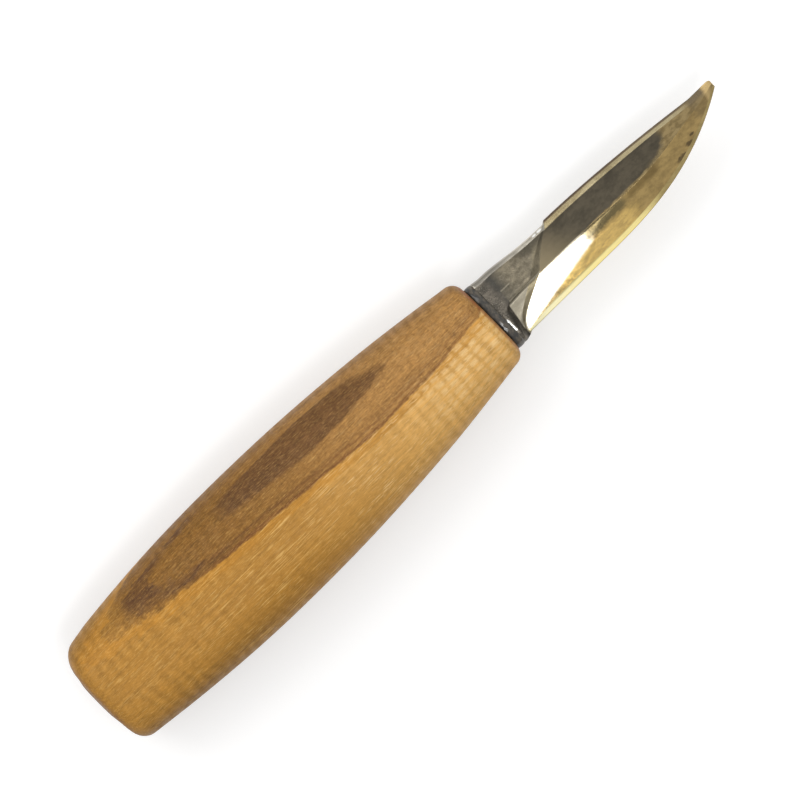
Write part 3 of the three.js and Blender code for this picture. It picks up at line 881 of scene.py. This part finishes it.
# %% Neck and bolster
def neck_shape(steel, colour, gloss):
    """Darker where the neck turns into the bolster, and again where it meets the plunge."""
    left = steel.by_x(131, 127) * (0.6 + 0.4 * steel.by_y(1.4, 3.2))
    colour = steel.tint(colour, srgb(76, 74, 69), left)
    wander = steel.ragged((3, 1, 1), 0.35, detail=3, offset=17)
    ridge = steel.band(steel.y + wander, 2.25, 2.4, 0.16) * steel.band(steel.x, 124.6, 129.6, 1.0)
    colour = steel.tint(colour, srgb(158, 150, 132), ridge * 0.6)
    dark_end = steel.spot((139.2, 5.0), (3.6, 1.5), soft=0.8)
    colour = steel.tint(colour, srgb(86, 81, 70), dark_end * 0.85)
    ramp_side = steel.step(steel.x - steel.y * 0.95, 134.4, 135.4) * steel.by_y(5.2, 3.4)
    colour = steel.tint(colour, srgb(134, 125, 102), ramp_side * 0.45)
    return steel.tint(colour, srgb(176, 168, 148), steel.by_y(-0.42, -0.5) * 0.8), gloss


def filed_shape(steel, colour, gloss):
    """The filed strip is lighter towards the blade, and two painted highlights, near-white glints, sit on it.
    """
    colour = steel.tint(srgb(146, 141, 131), colour, steel.by_x(128, 139))
    # Painted highlight: two near-white glints on the filed strip.
    painted_highlight = steel.spot((141.4, 6.08), (0.55, 0.26)) + steel.spot((142.9, 6.05), (0.7, 0.26))
    painted_highlight = painted_highlight * steel.by_y(6.32, 6.2) * steel.step(steel.z, 0.2, 0.6)
    return steel.tint(colour, srgb(255, 255, 250), painted_highlight), gloss


def bolster_shape(steel, colour, gloss):
    """Painted highlight: a near-white streak on the lower half of the bolster's crest. Painted shade darkens
    the sloping front face, and the bolster is darker where it meets the neck.
    """
    wander = steel.ragged((1.2, 0.9, 0.9), 0.25, detail=2, offset=14)
    meets_neck = steel.step(steel.x + wander, 125.6, 127.4) * (0.5 + 0.5 * steel.by_y(1.4, 3.2))
    colour = steel.tint(colour, srgb(76, 74, 69), meets_neck * 0.9)
    crest = steel.x + steel.y * 0.05 + wander
    # Painted shade: the sloping front face of the bolster is made darker.
    front_face_shade = steel.band(crest, 124.4, 125.6, 0.3) * steel.by_y(-1.0, -2.4)
    colour = steel.tint(colour, srgb(72, 69, 63), front_face_shade * 0.7)
    # Painted highlight: a near-white glint on the crest's lower half.
    painted_highlight = steel.band(crest, 123.45, 123.75, 0.3) * steel.band(steel.y + wander, -5.9, -3.4, 0.6)
    return steel.tint(colour, srgb(250, 250, 246), painted_highlight), gloss - 0.08 * painted_highlight + 0.05 * meets_neck


print("neck and bolster ready")

# %% [markdown]
# The ground faces carry most of the colour. The honed strip and the line along the spine follow curves, so
# their masks use the formulas that shaped the blade.

# %% Flat, bevels and spine
TARNISH_SPOTS = [((177.3, -4.75), (1.5, 0.62)), ((180.5, -3.5), (1.0, 0.4)), ((182.3, -2.4), (0.6, 0.26))]


def point_shape(steel, colour):
    """Heat and dirt left a grey-brown stretch, and the very point is tan."""
    ragged = steel.ragged((1.2, 0.8, 0.8), 0.6, detail=3, offset=25)
    dirt = steel.band(steel.x + ragged, 187.0, 190.2, 2.0) * (0.25 + 0.5 * steel.by_y(1.6, 3.0))
    colour = steel.tint(colour, srgb(112, 100, 82), dirt)
    slanted = steel.x - steel.y * 0.15 + ragged * 0.5
    return steel.tint(colour, srgb(212, 184, 130), steel.step(slanted, 189.7, 190.9))


def patina_shape(steel, colour, gloss):
    """Olive at the plunge, brown-black in the middle, golden past a soft end near the point."""
    ragged = steel.ragged((1.6, 0.8, 0.8), 0.9, detail=4, offset=6)
    olive = steel.step(steel.x + steel.y * 0.8 + ragged, 151, 137)
    colour = steel.tint(colour, srgb(136, 124, 99), olive)
    past = steel.most(steel.x - 170.2, 0.0)
    worn = steel.by_x(168, 174)
    above = steel.y + 0.85 - past**3 * 0.0075 + ragged * (0.4 + 0.5 * worn)
    golden = steel.step(above, 0.05, -0.45) * (1 - worn) + steel.step(above, 0.9, -0.7) * worn
    golden = steel.most(golden, steel.step(steel.x + ragged * 0.8, 175.9, 178.7))
    cloudy = steel.grain((2.2, 1.1, 1.1), detail=3, offset=16)
    gold = steel.tint(srgb(128, 110, 75), srgb(158, 138, 98), steel.step(cloudy, 0.35, 0.6))
    colour = steel.tint(colour, gold, golden)
    return point_shape(steel, colour), gloss - 0.08 * golden


def bevel_shape(steel, colour, gloss):
    """A painted golden reflection on the belly, a painted near-white reflection at the heel, an olive haze
    and a brown stain under the grind line, and tarnish spots.
    """
    soft = steel.ragged((4, 1.5, 1.5), 2.0, detail=3, offset=21)
    # Painted reflection: a golden patch on the belly, where the polished bevel mirrors a warm light.
    glow = steel.band(steel.x + soft * 1.5, 142, 158, 7) * steel.band(steel.y + soft * 0.2, -7.6, -4.3, 0.9)
    blotchy = steel.step(steel.grain((2.6, 0.8, 0.8), detail=5, roughness=0.7, offset=35), 0.32, 0.6)
    colour = steel.tint(colour, srgb(228, 194, 118), glow * (0.36 + 0.5 * blotchy))
    # Painted reflection: near-white at the heel above a slanted line, where the softbox shines in the bevel.
    painted_white_reflection = steel.step(steel.y - (steel.x - 131) * 0.17, -7.6, -7.0) * steel.step(steel.x + soft, 152, 148)
    colour = steel.tint(colour, srgb(226, 218, 196), painted_white_reflection)
    low = steel.y + steel.ragged((2, 1, 1), 0.7, offset=8)
    haze = steel.band(steel.x, 150.2, 160, 2.5) * steel.step(low, -3.6, -2.9)
    colour = steel.tint(colour, srgb(98, 90, 66), haze * 0.8)
    stain = steel.band(steel.x, 163.5, 170.5, 2.5) * steel.step(low, -3.5, -2.5)
    colour = steel.tint(colour, srgb(104, 86, 54), stain * 0.6)
    for centre, size in TARNISH_SPOTS:
        ragged = steel.ragged((0.8, 0.5, 0.5), 1.9, detail=4, offset=centre[0])
        across, up = (steel.x - centre[0]) / size[0], (steel.y - centre[1]) / size[1]
        blot = steel.step(across * across + up * up + ragged, 1.8, 0.3)
        colour = steel.tint(colour, srgb(88, 75, 54), blot * 0.9)
        gloss = gloss + 0.2 * blot
    return point_shape(steel, colour), gloss


def edge_shape(steel, colour, gloss):
    """Painted highlight: the honed strip is painted pale yellow, whiter at the heel and golden further on,
    and a darker brown line runs along the very edge.
    """
    # Painted highlight: a pale strip near the edge, whiter towards the heel.
    painted_highlight = steel.step(steel.x + steel.ragged((5, 2, 2), 4, offset=3), 171, 159)
    heel = steel.by_x(148, 130)
    above = steel.y - EDGE_Y - steel.share(steel.x, SWEEP_X, TIP_X) ** SWEEP_POWER * SWEEP_RISE
    painted_highlight = painted_highlight * (0.3 + 0.7 * steel.band(above, 0.25, 0.9, 0.45))
    colour = steel.tint(colour, steel.tint(srgb(255, 236, 160), srgb(255, 247, 200), heel), painted_highlight)
    return steel.tint(colour, srgb(150, 122, 74), steel.step(above, 0.2, 0.04) * 0.6), gloss


def spine_shape(steel, colour, gloss):
    """Painted highlight: the spine and its chamfer are painted lighter towards the point, under a brown line.
    """
    # Painted highlight: a pale band on the spine and chamfer, strongest from about 172 to 180 mm.
    forward = steel.band(steel.x, 172, 180, 12)
    colour = steel.tint(colour, srgb(204, 190, 152), forward * 0.45)
    colour = steel.tint(colour, srgb(142, 120, 84), steel.by_x(182, 188) * 0.7)
    fallen = steel.share(steel.x, NECK_END_X, SPINE_LEVEL_X) ** SPINE_FALL_POWER * SPINE_FALL
    under = SPINE_Y - fallen - steel.y
    line = steel.step(under, 0.62, 0.45) * steel.by_x(187, 183)
    colour = steel.tint(colour, srgb(108, 92, 76), line * 0.8)
    return point_shape(steel, colour), gloss


print("tarnish spots", len(TARNISH_SPOTS))

# %% Blade piece
# Name, dark tone, light tone, roughness, scratches, pits, waves, and what only that face has.
STEELS = {
    "scale": ("forge_scale", (97, 91, 78), (140, 131, 112), 0.34, 0.3, 0.9, 0.03, neck_shape),
    "neck_chamfer": ("filed_neck_chamfer", (178, 172, 158), (216, 209, 194), 0.22, 0.6, 0.1, 0, filed_shape),
    "web": ("filed_web", (137, 130, 114), (158, 151, 134), 0.34, 0.8, 0.2, 0, None),
    "plunge": ("plunge_ramp", (124, 115, 92), (160, 149, 122), 0.3, 0.8, 0.2, 0, None),
    "bolster": ("forged_bolster", (84, 80, 73), (120, 113, 102), 0.28, 0.3, 0.8, 0.03, bolster_shape),
    "patina": ("dark_patina", (74, 69, 59), (92, 85, 72), 0.32, 0.5, 0.1, 0, patina_shape),
    "bevel": ("polished_bevel", (146, 124, 82), (178, 152, 100), 0.05, 0.08, 0, 0.006, bevel_shape),
    "edge": ("honed_edge", (156, 138, 92), (182, 162, 112), 0.16, 0.2, 0, 0, edge_shape),
    "spine_chamfer": ("spine_chamfer", (150, 136, 103), (186, 172, 136), 0.24, 0.3, 0.05, 0, spine_shape),
    "spine": ("spine_line", (70, 62, 54), (104, 92, 76), 0.4, 0.4, 0.5, 0, spine_shape),
}
blade_materials = [steel_finish(*STEELS[name]) for name in FINISHES]
blade = finished(bm, "forged_blade", "blade", blade_materials)
rounded = blade.modifiers.new("Subdivision", "SUBSURF")
rounded.levels = rounded.render_levels = 2
blade.data.shade_smooth()

# %% [markdown]
# ## The bead of epoxy
#
# Epoxy fills the slot round the tang, and what squeezes out in front dries as a glossy dark bead. The CAD
# solid already has the filling with its cavity for the tang, so a copy of it is merged and its bead is let
# out until it meets the wood behind it and the steel in front of it.

# %% Epoxy
BEAD_START, BEAD_LENGTH, SEAT_GAP, SEAT_DEPTH = handle_length + 0.3, 1.2, 0.3, 0.35

bm = bmesh.new()
bm.from_mesh(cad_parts["tang_epoxy"].data)
bmesh.ops.remove_doubles(bm, verts=bm.verts, dist=1e-6)
bmesh.ops.translate(bm, vec=-butt, verts=bm.verts)
bmesh.ops.scale(bm, vec=(1 / MM,) * 3, verts=bm.verts)
bead_middle = BEAD_START + BEAD_LENGTH / 2
stretch = (BEAD_LENGTH + 2 * SEAT_GAP + 2 * SEAT_DEPTH) / BEAD_LENGTH
for vert in bm.verts:
    if abs(vert.co.x - bead_middle) < BEAD_LENGTH / 2 + 0.01:
        vert.co.x = bead_middle + (vert.co.x - bead_middle) * stretch


def glossy_epoxy():
    """Dark behind, and smeared with grinding dust at the bolster."""
    resin = Finish("glossy_dark_epoxy")
    cloud = resin.grain((1.5, 1.5, 1.5), detail=3)
    colour = resin.tint(srgb(34, 38, 40), srgb(72, 70, 64), resin.step(cloud, 0.35, 0.7))
    ragged = resin.ragged((1.0, 1.6, 1.6), 0.9, detail=3, offset=8)
    thin = resin.step(resin.x + ragged, handle_length + 0.4, handle_length + 1.2)
    patchy = resin.step(resin.grain((0.8, 1.2, 1.2), detail=4, offset=12), 0.35, 0.65)
    smeared = resin.tint(srgb(70, 68, 64), srgb(108, 100, 87), patchy)
    colour = resin.tint(colour, smeared, thin * 0.85)
    normal = resin.bump(resin.grain((2.0, 1.8, 1.8), detail=1, offset=5), 0.1)
    gloss = 0.12 + resin.swing(cloud, 0.06)
    return resin.surface(Base_Color=colour, Roughness=gloss, Metallic=0.0, Normal=normal)


epoxy = finished(bm, "epoxy_bead", "tang_epoxy", [glossy_epoxy()])
epoxy.data.shade_smooth()
epoxy.data.set_sharp_from_angle(angle=math.radians(40))

# %% [markdown]
# ## Floor and light
#
# The ground is plain white. The floor is white to the camera and to shiny steel, and a plain grey to
# everything else, so that the sides of the barrel fall off softly. The dome is a soft gradient. One small
# softbox hangs where the polished bevel mirrors it, and its corner shines in the white patch at the heel,
# which the bevel's colour also paints near-white as a painted reflection.

# %% Floor
FLOOR_SIZE = 6.0
FLOOR_GREY, FLOOR_WHITE, FLOOR_GLOW = 0.28, 0.75, 0.36
bm = bmesh.new()
bmesh.ops.create_grid(bm, x_segments=1, y_segments=1, size=FLOOR_SIZE / 2)
floor_mesh = bpy.data.meshes.new("floor")
bm.to_mesh(floor_mesh)
bm.free()
floor = bpy.data.objects.new("floor", floor_mesh)
bpy.context.scene.collection.objects.link(floor)

paper = bpy.data.materials.new("white_paper")
paper.use_nodes = True
tree = paper.node_tree
tree.nodes.clear()
grey = add_node(tree, "BsdfDiffuse", {}, {"Color": (FLOOR_GREY,) * 3 + (1,)})
matt = {"Base Color": (FLOOR_WHITE,) * 3 + (1,), "Roughness": 1.0, "Specular IOR Level": 0.0}
glow = {"Emission Color": (1, 1, 1, 1), "Emission Strength": FLOOR_GLOW}
white = add_node(tree, "BsdfPrincipled", {}, matt | glow)
paths = add_node(tree, "LightPath", {}, {}).outputs
seen = paths["Is Camera Ray"]
for name in ("Is Glossy Ray", "Is Transmission Ray"):
    seen = add_node(tree, "Math", {"operation": "MAXIMUM"}, {0: seen, 1: paths[name]}).outputs[0]
choice = add_node(tree, "MixShader", {}, {0: seen, 1: grey.outputs[0], 2: white.outputs[0]})
add_node(tree, "OutputMaterial", {}, {"Surface": choice.outputs[0]})
floor_mesh.materials.append(paper)
print("floor, m", FLOOR_SIZE)

# %% Light
DOME_TOP, DOME_SIDE = 1.05, 0.35
DOME_AXIS = (-0.1, 0.25, 0.95)
world = bpy.data.worlds.new("dome")
bpy.context.scene.world = world
world.use_nodes = True
tree = world.node_tree
tree.nodes.clear()
direction = add_node(tree, "TexCoord", {}, {}).outputs["Generated"]
facing = add_node(tree, "VectorMath", {"operation": "DOT_PRODUCT"}, {0: direction, 1: DOME_AXIS})
levels = {"From Min": -0.3, "From Max": 0.9, "To Min": DOME_SIDE, "To Max": DOME_TOP}
levels["Value"] = facing.outputs["Value"]
level = add_node(tree, "MapRange", {"interpolation_type": "SMOOTHSTEP"}, levels)
dome = add_node(tree, "Background", {}, {"Strength": level.outputs[0]})
backdrop = add_node(tree, "Background", {}, {"Color": (1, 1, 1, 1)})
camera_sees = add_node(tree, "LightPath", {}, {}).outputs["Is Camera Ray"]
choice = add_node(tree, "MixShader", {}, {0: camera_sees, 1: dome.outputs[0], 2: backdrop.outputs[0]})
add_node(tree, "OutputWorld", {}, {"Surface": choice.outputs[0]})


def softbox(name, place, rotation, size, watts):
    lamp = bpy.data.lights.new(name, "AREA")
    lamp.shape = "RECTANGLE"
    lamp.size, lamp.size_y = size
    lamp.energy = watts
    obj = bpy.data.objects.new(name, lamp)
    obj.location, obj.rotation_euler = place, rotation
    bpy.context.scene.collection.objects.link(obj)


softbox("bevel_softbox", (-0.0693, -0.2508, 0.7635), (0, 0, math.radians(22)), (0.30, 0.14), 1.1)
spine_side = Vector((-0.25, 0.7, 0.8))
to_knife = (-spine_side).to_track_quat("-Z", "Y").to_euler()
softbox("side_softbox", spine_side, to_knife, (0.6, 0.6), 2.6)
bpy.context.scene.view_settings.view_transform = "Standard"
print("dome, side and top", DOME_SIDE, DOME_TOP)
